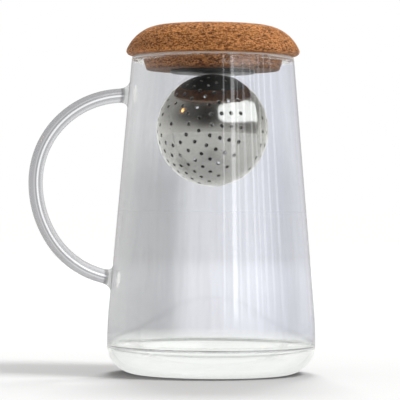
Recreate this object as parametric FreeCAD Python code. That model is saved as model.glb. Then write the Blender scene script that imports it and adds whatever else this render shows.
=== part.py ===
import FreeCAD, Part
import math
import os

# Lidded tea mug with an infuser ball, in millimetres.
# The origin is on the mug's own axis, on the surface that it stands on. Z is up and the handle is at -X.

Vector = FreeCAD.Vector

# Glass mug, turned about Z
mug_height = 158.5
rim_radius = 40.4            # outside of the wall at the rim
foot_radius = 52.0           # outside of the wall where its taper ends
foot_height = 24.0           # the wall stands upright below this
foot_blend = 250.0           # radius of the soft bend between the taper and the upright foot
wall = 2.2
lip_thickness = 3.0          # the fire-polished lip is thicker than the wall
lip_height = 2.7
corner_radius = 14.5         # outside, between the wall and the base
inner_corner_radius = 12.0
floor_thickness = 3.5
punt_depth = 2.8             # the middle of the base is pushed up this far
punt_radius = 22.0           # flat top of the punt
punt_slope_width = 10.0      # from the flat top to the ring that stands on the table
punt_blend = 15.0            # radius of the soft bends at both ends of that slope

# Glass handle, a bent rod
rod_diameter = 7.0
handle_top_drop = 20.0       # from the rim down to where the rod's centre meets the wall
handle_top_slope = 5.6       # degrees down, going away from the wall
handle_bottom_height = 47.2  # where it meets the wall again
handle_bottom_slope = 15.9   # degrees up, going away from the wall
handle_reach = 89.1          # from the mug's axis to the rod's centre at the widest point
handle_reach_drop = 43.6     # from the upper weld down to the widest point
handle_straight = 7.0        # straight run at each weld
weld_radius = 5.0            # hollow of the glass that flows round each weld

# Cork lid, one turned piece: a domed cap on a stopper
cap_radius = 43.3
cap_edge_radius = 2.0        # lower edge
cap_side_radius = 20.0
cap_side_angle = 66.9        # degrees from level where the edge meets the side
cap_crown_rise = 0.4         # the middle of the cap stands this much over the top of its side
stopper_radius = 35.4        # under the cap
stopper_taper = 2.2          # less at the lower end
stopper_depth = 7.4
stopper_edge_radius = 1.2
stopper_root_radius = 0.8

# Steel plate and magnet in the lid
plate_radius = 21.2
plate_thickness = 1.6
plate_edge_radius = 0.9
magnet_radius = 10.0
magnet_thickness = 3.0

# Infuser ball, two pressed steel halves
ball_radius = 28.0
sheet = 0.45
skirt_length = 4.1           # the front half runs straight this far past its widest place
neck_length = 3.8            # the rear half's neck inside that skirt
front_turn = 60.0            # degrees that its pole is turned from -Y towards the handle
front_lift = 5.0             # degrees above level
hole_diameter = 1.8
# rings of holes: degrees from the pole, and how many holes each ring has
front_ring_angles = (22.0, 33.4, 45.6, 55.9, 65.8, 76.7)
front_ring_counts = (12, 16, 24, 24, 24, 24)
rear_ring_angles = (22.0, 34.0, 46.0, 58.0, 70.0)
rear_ring_counts = (12, 16, 24, 24, 24)

# Clearances
seat_gap = 0.3               # under the cap, above the lip
hang_gap = 0.3               # between the plate and the ball
recess_gap = 0.2             # round the magnet
neck_gap = 0.05              # sliding fit between neck and skirt
skirt_gap = 0.1              # between the skirt's end and the rear half

# Heights that follow
handle_top_height = mug_height - handle_top_drop
handle_reach_height = handle_top_height - handle_reach_drop
cap_underside = mug_height + seat_gap
stopper_underside = cap_underside - stopper_depth
plate_underside = stopper_underside - plate_thickness
ball_height = plate_underside - hang_gap - ball_radius

AXIS_UP = Vector(0, 0, 1)
ORIGIN = Vector(0, 0, 0)


def flat(radius, height):
    """A point of a turned outline: distance from the axis, height."""
    return Vector(radius, 0, height)


def arc(start, middle, end):
    return Part.Arc(start, middle, end).toShape()


def rounded_outline(corners):
    """A closed wire through (radius, height, blend) corners, each blend a tangent arc."""
    count = len(corners)
    entries = []
    exits = []
    middles = []
    for i in range(count):
        here = flat(*corners[i][:2])
        back = (flat(*corners[i - 1][:2]) - here).normalize()
        ahead = (flat(*corners[(i + 1) % count][:2]) - here).normalize()
        blend = corners[i][2]
        half = back.getAngle(ahead) / 2
        reach = blend / math.tan(half)
        inward = (back + ahead).normalize() if blend else Vector()
        entries.append(here + back * reach)
        exits.append(here + ahead * reach)
        middles.append(here + inward * (blend / math.sin(half) - blend))
    edges = []
    for i in range(count):
        if corners[i][2]:
            edges.append(arc(entries[i], middles[i], exits[i]))
        following = entries[(i + 1) % count]
        if exits[i].distanceToPoint(following) > 1e-6:
            edges.append(Part.makeLine(exits[i], following))
    return Part.Wire(edges)


def turned(wire):
    """The solid that an outline sweeps when it is turned about Z."""
    return Part.Face(wire).revolve(ORIGIN, AXIS_UP, 360)


def wall_radius(height):
    """Outside radius of the mug's straight tapered wall."""
    rise = (height - foot_height) / (mug_height - foot_height)
    return foot_radius - (foot_radius - rim_radius) * rise


def mug_body():
    """Tapered glass with a thick lip, a round lower corner and a pushed-up base."""
    lean = math.atan((foot_radius - rim_radius) / (mug_height - foot_height))
    inset = wall / math.cos(lean)
    lip_inset = lip_thickness / math.cos(lean)
    lip_foot = mug_height - lip_height
    ring_radius = punt_radius + punt_slope_width
    polish = lip_thickness * 0.45
    return turned(rounded_outline([
        (0, punt_depth, 0),
        (punt_radius, punt_depth, punt_blend),
        (ring_radius, 0, punt_blend),
        (foot_radius, 0, corner_radius),
        (foot_radius, foot_height, foot_blend),
        (rim_radius, mug_height, polish),
        (rim_radius - lip_inset, mug_height, polish),
        (wall_radius(lip_foot) - lip_inset, lip_foot, lip_thickness - wall),
        (wall_radius(lip_foot - lip_height) - inset, lip_foot - lip_height, lip_height / 2),
        (foot_radius - inset, foot_height, foot_blend),
        (foot_radius - inset, floor_thickness, inner_corner_radius),
        (ring_radius, floor_thickness, punt_blend),
        (punt_radius, punt_depth + floor_thickness, punt_blend),
        (0, punt_depth + floor_thickness, 0),
    ]))


def leaving(start, direction, end):
    """The arc that leaves start along direction and reaches end, and its direction there."""
    chord = (end - start).normalize()
    turn = direction.getAngle(chord)
    length = start.distanceToPoint(end)
    across = (direction - chord * direction.dot(chord)).normalize()
    middle = (start + end) * 0.5 + across * (length / 2 * math.tan(turn / 2))
    arrival = chord * (2 * chord.dot(direction)) - direction
    return arc(start, middle, end), arrival


def two_arcs(start, leave, end, arrive):
    """Two tangent arcs from start to end that keep both directions."""
    across = end - start
    both = across.dot(leave + arrive)
    spread = 2 * (1 - leave.dot(arrive))
    step = (math.sqrt(both ** 2 + spread * across.dot(across)) - both) / spread
    joint = (start + end + (leave - arrive) * step) * 0.5
    first, heading = leaving(start, leave, joint)
    second, _ = leaving(joint, heading, end)
    return [first, second]


def handle_path():
    """The rod's centre line, from inside the wall at the top round to inside it at the bottom."""
    down_slope = math.radians(handle_top_slope)
    up_slope = math.radians(handle_bottom_slope)
    outward = Vector(-math.cos(down_slope), 0, -math.sin(down_slope))
    inward = Vector(math.cos(up_slope), 0, -math.sin(up_slope))
    top = Vector(-wall_radius(handle_top_height), 0, handle_top_height)
    bottom = Vector(-wall_radius(handle_bottom_height), 0, handle_bottom_height)
    widest = Vector(-handle_reach, 0, handle_reach_height)
    top_bend = top + outward * handle_straight
    bottom_bend = bottom - inward * handle_straight
    run_in = rod_diameter
    edges = [Part.makeLine(top - outward * run_in, top_bend)]
    edges += two_arcs(top_bend, outward, widest, -AXIS_UP)
    edges += two_arcs(widest, -AXIS_UP, bottom_bend, inward)
    edges.append(Part.makeLine(bottom_bend, bottom + inward * run_in))
    return Part.Wire(edges), outward


def mug_handle():
    """A bent rod, welded to the wall with a hollow flare at both ends and cut to the wall."""
    path, outward = handle_path()
    start = path.Vertexes[0].Point
    section = Part.Wire(Part.makeCircle(rod_diameter / 2, start, outward))
    rod = path.makePipeShell([section], True, False)
    taper_height = mug_height - foot_height
    blank = Part.makeCone(foot_radius, rim_radius, taper_height, flat(0, foot_height))
    joined = blank.fuse(rod)
    welds = [e for e in joined.Edges if is_weld(e, blank)]
    return joined.makeFillet(weld_radius, welds).cut(blank).Solids[0]


def is_weld(edge, blank):
    """Whether an edge is where the rod enters the wall."""
    box = edge.BoundBox
    return box.XMax < 0 and box.YLength < 2 * rod_diameter and abs(blank.distToShape(edge)[0]) < 1e-4


def cap_outline():
    """The cap's edge, side and crown as tangent arcs, from the underside to the axis."""
    edge_centre = flat(cap_radius - cap_edge_radius, cap_underside + cap_edge_radius)
    side_centre = edge_centre - slope_vector(cap_side_angle) * (cap_side_radius - cap_edge_radius)
    top = side_centre.z + cap_side_radius + cap_crown_rise
    spread = side_centre.x ** 2 + 2 * cap_side_radius * cap_crown_rise + cap_crown_rise ** 2
    crown = spread / (2 * cap_crown_rise)
    crown_centre = flat(0, top - crown)
    crown_angle = math.degrees(math.atan2(side_centre.x, side_centre.z - crown_centre.z))
    return [
        arc_about(edge_centre, cap_edge_radius, 180.0, cap_side_angle),
        arc_about(side_centre, cap_side_radius, cap_side_angle, crown_angle),
        arc_about(crown_centre, crown, crown_angle, 0),
    ]


def slope_vector(angle):
    """From an arc's centre to its point where the outline slopes by this angle."""
    return flat(math.sin(math.radians(angle)), math.cos(math.radians(angle)))


def arc_about(centre, radius, begin, end):
    points = [centre + slope_vector(a) * radius for a in (begin, (begin + end) / 2, end)]
    return arc(*points)


def lid_cork():
    """The cap and its stopper, with a blind recess for the magnet."""
    cap = cap_outline()
    cap_foot = cap[0].Vertexes[0].Point
    axis_top = cap[-1].Vertexes[-1].Point
    cap.append(Part.makeLine(axis_top, flat(0, cap_underside)))
    cap.append(Part.makeLine(flat(0, cap_underside), cap_foot))
    lower = stopper_radius - stopper_taper
    root = stopper_radius + stopper_root_radius
    stopper = turned(rounded_outline([
        (0, stopper_underside, 0),
        (lower, stopper_underside, stopper_edge_radius),
        (stopper_radius, cap_underside - stopper_root_radius, stopper_root_radius),
        (root, cap_underside, 0),
        (0, cap_underside, 0),
    ]))
    recess_radius = magnet_radius + recess_gap
    recess_depth = magnet_thickness + recess_gap
    recess = Part.makeCylinder(recess_radius, recess_depth, flat(0, stopper_underside))
    return turned(Part.Wire(cap)).fuse(stopper).cut(recess).removeSplitter().Solids[0]


def lid_plate():
    """The black-coated steel disc under the stopper."""
    return turned(rounded_outline([
        (0, plate_underside, 0),
        (plate_radius, plate_underside, plate_edge_radius),
        (plate_radius, stopper_underside, 0),
        (0, stopper_underside, 0),
    ]))


def lid_magnet():
    """The disc magnet that lies on the plate inside the cork and holds the ball."""
    return Part.makeCylinder(magnet_radius, magnet_thickness, flat(0, stopper_underside))


def drilled(shell, angles, counts, pole):
    """A shell with its pole hole and its rings of radial holes."""
    drills = [drill(0 if pole > 0 else 180, 0)]
    for index, (angle, count) in enumerate(zip(angles, counts)):
        from_front = angle if pole > 0 else 180 - angle
        stagger = 180.0 / count if index == 1 else 0.0
        drills += [drill(from_front, stagger + 360.0 * i / count) for i in range(count)]
    return shell.cut(drills)


def drill(from_front, around):
    """A cutter along one radius of the ball."""
    tilt = math.radians(from_front)
    turn = math.radians(around)
    direction = Vector(math.sin(tilt) * math.cos(turn), math.sin(tilt) * math.sin(turn), math.cos(tilt))
    inner = ball_radius - sheet - hole_diameter
    return Part.makeCylinder(hole_diameter / 2, sheet + 2 * hole_diameter, direction * inner, direction)


def bowl(radius, skirt):
    """A solid half ball, dome up, with a straight skirt under it."""
    dome = Part.makeSphere(radius, ORIGIN, AXIS_UP, 0, 90)
    return dome.fuse(Part.makeCylinder(radius, skirt, Vector(0, 0, -skirt)))


def necked(radius, waist, neck, top):
    """The solid part of a ball below a waist, dome down, with a round neck standing on it."""
    dome = Part.makeSphere(radius, ORIGIN, AXIS_UP, -90, -math.degrees(math.asin(waist / radius)))
    return dome.fuse(Part.makeCylinder(neck, waist + top, Vector(0, 0, -waist)))


def front_shell():
    """Half a hollow ball with a straight skirt past its widest place."""
    return bowl(ball_radius, skirt_length).cut(bowl(ball_radius - sheet, skirt_length))


def rear_shell():
    """A shallower bowl whose neck slides into the front half's skirt."""
    inside = ball_radius - sheet
    waist = skirt_length + skirt_gap
    neck = inside - neck_gap
    neck_inside = neck - sheet
    inner_waist = math.sqrt(inside ** 2 - neck_inside ** 2)
    top = neck_length - waist
    hollow = necked(inside, inner_waist, neck_inside, top)
    return necked(ball_radius, waist, neck, top).cut(hollow)


def hung(shape):
    """Turns the ball from its own axis to the way it hangs, and lifts it under the plate."""
    turn = math.radians(front_turn)
    lift = math.radians(front_lift)
    pole = Vector(-math.sin(turn) * math.cos(lift), -math.cos(turn) * math.cos(lift), math.sin(lift))
    upward = (AXIS_UP - pole * AXIS_UP.dot(pole)).normalize()
    side = upward.cross(pole)
    placed = shape.copy()
    placed.Placement = FreeCAD.Placement(
        Vector(0, 0, ball_height), FreeCAD.Rotation(side, upward, pole, "ZXY"))
    return placed


def infuser_front_half():
    return hung(drilled(front_shell(), front_ring_angles, front_ring_counts, 1))


def infuser_rear_half():
    return hung(drilled(rear_shell(), rear_ring_angles, rear_ring_counts, -1))


NODES = (mug_body, mug_handle, lid_cork, lid_plate, lid_magnet, infuser_front_half, infuser_rear_half)

os.makedirs("parts", exist_ok=True)
for make in NODES:
    solid = make()
    solid.exportStep("parts/" + make.__name__ + ".step")
    print(make.__name__, solid.ShapeType, len(solid.Solids), solid.isValid(), round(solid.Volume, 1))
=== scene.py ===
"""A lidded glass tea mug with an infuser ball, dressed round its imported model."""

import logging
import math
from dataclasses import dataclass, field
from enum import Enum

import bmesh
import bpy
from mathutils import Matrix, Vector, noise
from mathutils.geometry import delaunay_2d_cdt


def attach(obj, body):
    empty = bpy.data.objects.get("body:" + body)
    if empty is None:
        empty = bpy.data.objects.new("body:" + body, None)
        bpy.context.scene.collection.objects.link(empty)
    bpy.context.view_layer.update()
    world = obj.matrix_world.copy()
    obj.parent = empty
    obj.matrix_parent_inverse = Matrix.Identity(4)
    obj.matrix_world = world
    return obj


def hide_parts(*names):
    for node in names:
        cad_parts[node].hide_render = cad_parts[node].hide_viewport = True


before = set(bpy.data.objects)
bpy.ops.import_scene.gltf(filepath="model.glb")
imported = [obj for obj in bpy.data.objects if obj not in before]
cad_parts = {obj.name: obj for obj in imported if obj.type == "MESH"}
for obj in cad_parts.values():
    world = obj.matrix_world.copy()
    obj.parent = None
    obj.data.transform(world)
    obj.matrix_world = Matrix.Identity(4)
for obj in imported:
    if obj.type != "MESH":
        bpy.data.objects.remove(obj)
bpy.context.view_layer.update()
MM = 0.001
UP = Vector((0, 0, 1))
Socket = bpy.types.NodeSocket
Piece = bpy.types.Object
LOG = logging.getLogger("mug")


class Body(str, Enum):
    """The moving bodies that pieces ride on."""

    MUG = "mug"
    LID = "lid"
    FRONT = "infuser_front"
    REAR = "infuser_rear"


class Slot(str, Enum):
    """The record's material slots that the pieces here take."""

    BODY_GLASS = "body_glass"
    CORK = "cork"
    BALL = "ball_steel"


@dataclass
class Surface:
    """A mesh under construction, in millimetres."""

    points: list = field(default_factory=list)
    faces: list = field(default_factory=list)
    normals: list = field(default_factory=list)

    def add(self, point: Vector, normal: Vector | None = None) -> int:
        """Adds a vertex.

        Args:
            point: its place.
            normal: the direction it shades by, where the mesh is given its own.

        Returns:
            The vertex's number.
        """
        self.points.append(Vector(point))
        self.normals.append(Vector(normal) if normal is not None else Vector())
        return len(self.points) - 1

    def bridge(self, one: list, other: list) -> None:
        """Joins two closed loops of as many vertices with four-sided faces.

        Args:
            one: the vertices of the first loop.
            other: those of the second.
        """
        for i in range(len(one)):
            j = (i + 1) % len(one)
            self.faces.append((one[i], one[j], other[j], other[i]))

    def fan(self, loop: list, middle: int) -> None:
        """Closes a loop with triangles to a middle vertex."""
        for i in range(len(loop)):
            self.faces.append((loop[i], loop[(i + 1) % len(loop)], middle))

    def sheet(self, grid: list) -> None:
        """Joins the columns of an open grid with four-sided faces.

        Args:
            grid: columns of vertex numbers, all of the same length.
        """
        for near, far in zip(grid, grid[1:]):
            for j in range(len(near) - 1):
                self.faces.append((near[j], far[j], far[j + 1], near[j + 1]))

    def build(self, name: str, place: Matrix | None = None, own_normals: bool = False) -> Piece:
        """Makes the Blender object.

        Args:
            name: the piece's name.
            place: turns and moves the points first, in millimetres.
            own_normals: shade by the given normals and not by the faces'.

        Returns:
            The new object, linked to the scene, with smooth faces.
        """
        place = place or Matrix.Identity(4)
        turn = place.to_3x3()
        mesh = bpy.data.meshes.new(name)
        mesh.from_pydata([(place @ p) * MM for p in self.points], [], self.faces)
        work = bmesh.new()
        work.from_mesh(mesh)
        bmesh.ops.recalc_face_normals(work, faces=work.faces)
        work.to_mesh(mesh)
        work.free()
        mesh.shade_smooth()
        if own_normals:
            mesh.normals_split_custom_set_from_vertices([(turn @ n).normalized() for n in self.normals])
        piece = bpy.data.objects.new(name, mesh)
        bpy.context.scene.collection.objects.link(piece)
        return piece


@dataclass
class Outline:
    """An outline to be turned about the axis: points as (radius, height), in millimetres."""

    points: list = field(default_factory=list)
    spacing: float = 2.0
    turn_step: float = 6.0

    def line_to(self, end: Vector) -> None:
        """Adds a straight run in even steps.

        Args:
            end: its last point; the first call of all only starts there.
        """
        end = Vector(end)
        if not self.points:
            self.points.append(end)
            return
        start = self.points[-1]
        length = (end - start).length
        if length < 1e-6:
            return
        steps = max(1, round(length / self.spacing))
        self.points += [start.lerp(end, i / steps) for i in range(1, steps + 1)]

    def arc_about(self, centre: Vector, radius: float, begin: float, end: float) -> None:
        """Adds an arc in even steps.

        Args:
            centre: of the arc.
            radius: of the arc.
            begin: the first point's angle from the vertical, in degrees.
            end: the last point's angle.
        """
        by_turn = abs(end - begin) / self.turn_step
        by_length = abs(math.radians(end - begin)) * radius / self.spacing
        steps = max(2, math.ceil(max(by_turn, by_length)))
        for i in range(steps + 1):
            angle = math.radians(begin + (end - begin) * i / steps)
            point = centre + Vector((math.sin(angle), math.cos(angle))) * radius
            if not self.points or (point - self.points[-1]).length > 1e-6:
                self.points.append(point)

    def corners(self, places: list) -> None:
        """Adds a chain of straight runs whose corners are rounded.

        Args:
            places: (radius, height, blend) for each corner; the first and last have no blend.
        """
        self.line_to(places[0][:2])
        for i in range(1, len(places) - 1):
            here = Vector(places[i][:2])
            back = (Vector(places[i - 1][:2]) - here).normalized()
            ahead = (Vector(places[i + 1][:2]) - here).normalized()
            blend = places[i][2]
            if not blend:
                self.line_to(here)
                continue
            half = back.angle(ahead) / 2
            centre = here + (back + ahead).normalized() * (blend / math.sin(half))
            first = here + back * (blend / math.tan(half)) - centre
            last = here + ahead * (blend / math.tan(half)) - centre
            begin = math.degrees(math.atan2(first.x, first.y))
            end = math.degrees(math.atan2(last.x, last.y))
            end += 360 * round((begin - end) / 360)
            self.line_to(centre + first)
            self.arc_about(centre, blend, begin, end)
        self.line_to(places[-1][:2])


def circle(count: int) -> list:
    """Gives the cosine and sine of each of so many even turns."""
    return [(math.cos(2 * math.pi * k / count), math.sin(2 * math.pi * k / count)) for k in range(count)]


def turned(surface: Surface, outline: list, columns: int) -> list:
    """Turns an outline that begins and ends on the axis.

    Args:
        surface: takes the vertices, and the faces.
        outline: (radius, height) points.
        columns: how many points go round.

    Returns:
        The rows of vertex numbers; a row on the axis has one number.
    """
    rows = []
    for point in outline:
        if point.x < 1e-6:
            rows.append([surface.add(Vector((0, 0, point.y)))])
        else:
            rows.append([surface.add(Vector((point.x * c, point.x * s, point.y))) for c, s in circle(columns)])
    return rows


def skin(surface: Surface, rows: list, gaps: tuple = ()) -> None:
    """Joins rows of vertices with faces.

    Args:
        surface: takes the faces.
        rows: as turned() returns them.
        gaps: (first row, last row, first column, last column) of windows to leave open.
    """
    for i, (low, high) in enumerate(zip(rows, rows[1:])):
        if len(low) == 1:
            surface.fan(high, low[0])
        elif len(high) == 1:
            surface.fan(low, high[0])
        else:
            for j in range(len(low)):
                if not any(a <= i < b and c <= j < d for a, b, c, d in gaps):
                    k = (j + 1) % len(low)
                    surface.faces.append((low[j], low[k], high[k], high[j]))


def ease(start: float, end: float, value: float) -> float:
    """Rises smoothly from 0 at start to 1 at end."""
    share = max(0.0, min(1.0, (value - start) / (end - start)))
    return share * share * (3 - 2 * share)


class Nodes:
    """A short way to write the nodes of a material or the world."""

    def __init__(self, name: str, kind: str = "Material") -> None:
        """Makes an empty material, or a world, with its output node.

        Args:
            name: of the material or the world.
            kind: Material or World.
        """
        self.owner = (bpy.data.materials if kind == "Material" else bpy.data.worlds).new(name)
        self.owner.use_nodes = True
        self.tree = self.owner.node_tree
        self.tree.nodes.clear()
        self.output = self.tree.nodes.new("ShaderNodeOutput" + kind)

    def add(self, kind: str, settings: dict | None = None, **inputs: object) -> bpy.types.Node:
        """Adds a node.

        Args:
            kind: the node's type without its ShaderNode prefix.
            settings: values for the node's own properties.
            **inputs: a value, a node or a node's output for each input, which goes by its name with _ for a
                space, or by its number as i0, i1 and so on.

        Returns:
            The node.
        """
        node = self.tree.nodes.new("ShaderNode" + kind)
        for key, value in (settings or {}).items():
            setattr(node, key, value)
        for key, value in inputs.items():
            numbered = key[0] == "i" and key[1:].isdigit()
            socket = node.inputs[int(key[1:]) if numbered else key.replace("_", " ")]
            if isinstance(value, bpy.types.Node):
                value = value.outputs[0]
            if isinstance(value, Socket):
                self.tree.links.new(value, socket)
            else:
                socket.default_value = value
        return node

    def place(self) -> Socket:
        """Returns the point in the piece's own coordinates."""
        return self.add("TexCoord").outputs["Object"]

    def math(self, operation: str, one: object, other: object = 0.0) -> Socket:
        """Adds a Math node and returns its value."""
        return self.add("Math", {"operation": operation}, i0=one, i1=other).outputs[0]

    def product(self, first: object, *others: object) -> Socket:
        """Multiplies two or more values.

        Args:
            first: the first value.
            others: the rest.

        Returns:
            Their product.
        """
        for other in others:
            first = self.math("MULTIPLY", first, other)
        return first

    def invert(self, value: object) -> Socket:
        """Takes a value from 1."""
        return self.math("SUBTRACT", 1.0, value)

    def vector(self, operation: str, one: object, other: object = (0.0, 0.0, 0.0)) -> Socket:
        """Adds a Vector Math node and returns its vector, or its number where that is what it gives."""
        node = self.add("VectorMath", {"operation": operation}, i0=one, i1=other)
        return node.outputs["Value" if operation in ("LENGTH", "DISTANCE", "DOT_PRODUCT") else "Vector"]

    def noise(self, place: object, scale: float, detail: float, **inputs: float) -> Socket:
        """Adds a noise texture and returns its value."""
        return self.add("TexNoise", Vector=place, Scale=scale, Detail=detail, **inputs).outputs["Fac"]

    def span(self, value: object, low: float, high: float) -> Socket:
        """Maps low to 0 and high to 1, and nothing beyond."""
        return self.add("MapRange", Value=value, i1=low, i2=high).outputs[0]

    def ramp(self, factor: object, stops: list) -> Socket:
        """Adds a colour ramp.

        Args:
            factor: what drives it.
            stops: (position, colour) pairs; a plain number stands for a grey.

        Returns:
            The ramp's colour.
        """
        node = self.add("ValToRGB", Fac=factor)
        elements = node.color_ramp.elements
        for number, (position, colour) in enumerate(stops):
            if isinstance(colour, (int, float)):
                colour = (colour, colour, colour)
            element = elements[number] if number < 2 else elements.new(position)
            element.position = position
            element.color = (*colour, 1.0)
        return node.outputs["Color"]

    def blend(self, kind: str, factor: object, one: object, other: object) -> Socket:
        """Mixes two colours by a named blend and returns the result."""
        one, other = ((*colour, 1.0) if isinstance(colour, tuple) else colour for colour in (one, other))
        return self.add("Mix", {"data_type": "RGBA", "blend_type": kind}, i0=factor, i6=one, i7=other).outputs[2]

    def mix(self, factor: object, one: object, other: object) -> Socket:
        """Mixes two shaders."""
        return self.add("MixShader", i0=factor, i1=one, i2=other).outputs[0]

    def seen(self) -> Socket:
        """Tells what is looked at from what lights.

        Returns:
            1 for camera, glossy and transmission rays, and 0 for the light that falls on things.
        """
        camera, glossy, through = (self.add("LightPath").outputs[f"Is {kind} Ray"]
                                   for kind in ("Camera", "Glossy", "Transmission"))
        return self.math("MAXIMUM", camera, self.math("MAXIMUM", glossy, through))

    def finish(self, surface: object) -> bpy.types.ID:
        """Connects the surface shader.

        Args:
            surface: the shader.

        Returns:
            The material or the world.
        """
        surface = surface.outputs[0] if isinstance(surface, bpy.types.Node) else surface
        self.tree.links.new(surface, self.output.inputs["Surface"])
        return self.owner


def wear(piece: Piece, material: bpy.types.Material) -> None:
    """Gives a piece its material in every slot."""
    piece.data.materials.clear()
    piece.data.materials.append(material)


@dataclass(frozen=True)
class ClearGlass:
    """Blown borosilicate glass: a plain thin wall, and a base, rod and weld marks that bend light."""

    clear_tint: tuple = (0.985, 0.99, 0.985)
    # Painted shade and reflections of the far wall: tones from left to right, and grey levels across it low and high.
    painted_tone_left: tuple = (1.0, 0.995, 1.04)
    painted_tone_right: tuple = (0.97, 0.99, 1.14)
    painted_far_low: tuple = ((-1.0, 0.46), (-0.82, 0.41), (-0.45, 0.43), (-0.22, 0.69), (0.22, 0.76), (0.50, 0.77),
                       (0.62, 0.71), (0.75, 0.61), (0.85, 0.54), (0.95, 0.63))
    painted_far_high: tuple = ((-1.0, 0.60), (-0.80, 0.58), (-0.50, 0.63), (-0.22, 0.70), (0.30, 0.73), (0.70, 0.70),
                        (0.95, 0.66))
    # Painted shade at the glass's silhouettes.
    painted_edge_shade: tuple = (0.88, 0.88, 0.90)
    base_tint: tuple = (0.94, 0.955, 0.935)
    # Painted shade at the base's silhouettes, and painted refraction lines in rings across it.
    painted_base_edge_shade: tuple = (0.62, 0.65, 0.61)
    painted_base_rings: tuple = ((0.40, 1.0), (0.43, 0.70), (0.46, 1.0), (0.62, 1.0), (0.66, 0.74), (0.70, 1.0))
    # Painted light and shade along the rod: its light and dark lines, the shade where it necks, and near the welds the
    # glass's own green lightened as painted light.
    painted_rod_bands: tuple = ((0.0, 0.50), (0.06, 0.60), (0.16, 0.70), (0.24, 0.56), (0.36, 0.40), (0.42, 0.94), (0.50, 0.96),
                    (0.54, 0.42), (0.60, 0.36), (0.68, 0.60), (0.74, 0.44), (0.90, 0.42), (1.0, 0.40))
    neck: tuple = ((0.0, 1.0), (0.15, 0.42), (0.40, 0.50), (0.62, 1.0))
    weld_green_and_light: tuple = (0.86, 0.88, 0.83)
    rod_centre: tuple = (-0.047, 0.0, 0.094)
    facing: tuple = (0.974, -0.225, 0.0)
    wall_slope: float = 0.08625
    wall_foot: float = 0.05407
    welds: tuple = (0.1385, 0.0472)
    mark: float = 0.0046
    mark_strength: float = 0.42
    inner_face: float = -0.0015
    outer_face: float = -0.0011
    rod_from: tuple = (0.0005, 0.0050)
    # Where the painted shade of the rod's neck lies.
    neck_shade_span: tuple = (0.0030, 0.0070)
    weld_until: tuple = (0.0042, 0.0030)
    thick_base: tuple = (0.0200, 0.0080)
    thick_lip: tuple = (0.1553, 0.1563)
    # Where the painted highlight on the lip's top lies.
    lip_highlight_band: tuple = (0.1571, 0.1577)
    # Heights where the far wall's painted shade begins, how ragged its lower edge is, and where it changes.
    painted_far_foot: tuple = (0.0112, 0.0152)
    painted_far_ragged: float = 0.016
    painted_far_change: tuple = (0.095, 0.125)
    # Scale of the drawn streaks in the far wall's painted shade.
    streaks: tuple = (260.0, 260.0, 6.0)
    rim_light: float = 0.45
    shade_low: float = 0.52
    shade_high: float = 0.85
    bend: float = 1.47

    def material(self) -> bpy.types.Material:
        """Builds the glass's nodes.

        Returns:
            The material.
        """
        nodes = Nodes("clear_glass")
        place = nodes.place()
        height = nodes.add("SeparateXYZ", Vector=place).outputs["Z"]
        path = nodes.add("LightPath").outputs
        leaving = nodes.add("NewGeometry").outputs["Backfacing"]
        rim = nodes.add("LayerWeight", Blend=0.5).outputs["Facing"]
        radius = nodes.vector("LENGTH", nodes.vector("MULTIPLY", place, (1.0, 1.0, 0.0)))
        tapered = nodes.math("SUBTRACT", self.wall_foot, nodes.product(height, self.wall_slope))
        off_wall = nodes.math("SUBTRACT", radius, tapered)
        rod = nodes.span(off_wall, *self.rod_from)
        outer = nodes.math("GREATER_THAN", off_wall, self.outer_face)
        # Painted shade: the outer surface darkens towards its silhouette.
        edge = nodes.product(outer, nodes.ramp(rim, [(0.55, 0.0), (0.95, 1.0)]))
        tint = nodes.blend("MIX", edge, self.clear_tint, self.painted_edge_shade)
        ragged = nodes.product(nodes.math("SUBTRACT", nodes.noise(place, 70.0, 5.0), 0.5), self.painted_far_ragged)
        painted_far_edge = nodes.span(nodes.math("ADD", height, ragged), *self.painted_far_foot)
        # Painted shade and reflections: the far wall's inner side, as the camera sees it, takes a grey that is darker
        # on the left.
        far = nodes.product(leaving, outer, path["Is Camera Ray"], painted_far_edge, nodes.invert(rod))
        tint = nodes.blend("MIX", far, tint, self.painted_far_shade(nodes, place, height, radius))
        # The rod's near side takes painted lines of light and shade.
        painted_rod_mask = nodes.product(rod, nodes.invert(leaving), path["Is Camera Ray"])
        tint = nodes.blend("MIX", painted_rod_mask, tint, self.painted_rod_lines(nodes, place, off_wall))
        pane = nodes.add("BsdfTransparent", Color=tint)
        gloss = nodes.add("BsdfGlossy", Color=nodes.ramp(rim, [(0.5, 1.0), (0.9, 0.55)]), Roughness=0.0)
        fresnel = nodes.math("ADD", 0.04, nodes.product(0.96, outer, nodes.math("POWER", rim, 5.0)))
        wall = nodes.mix(fresnel, pane, gloss)
        # The base's greenish tone, with painted shade towards its silhouettes and painted refraction lines in two
        # rings.
        base_tone_with_painted_shade = nodes.blend("MULTIPLY", 1.0, nodes.ramp(rim, [(0.45, self.base_tint), (0.80, self.painted_base_edge_shade)]),
                            nodes.ramp(nodes.span(radius, 0.0, 0.05), self.painted_base_rings))
        solid = nodes.add("BsdfPrincipled", Base_Color=base_tone_with_painted_shade, Roughness=0.0, IOR=self.bend, Transmission_Weight=1.0)
        thick = nodes.math("MAXIMUM", nodes.product(nodes.span(height, *self.thick_base), 0.85),
                           nodes.product(nodes.span(height, *self.thick_lip), 0.75))
        bent = nodes.math("MAXIMUM", thick, self.marks(nodes, place, off_wall))
        glass = nodes.mix(nodes.product(bent, nodes.invert(path["Is Glossy Ray"])), wall, solid)
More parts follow.
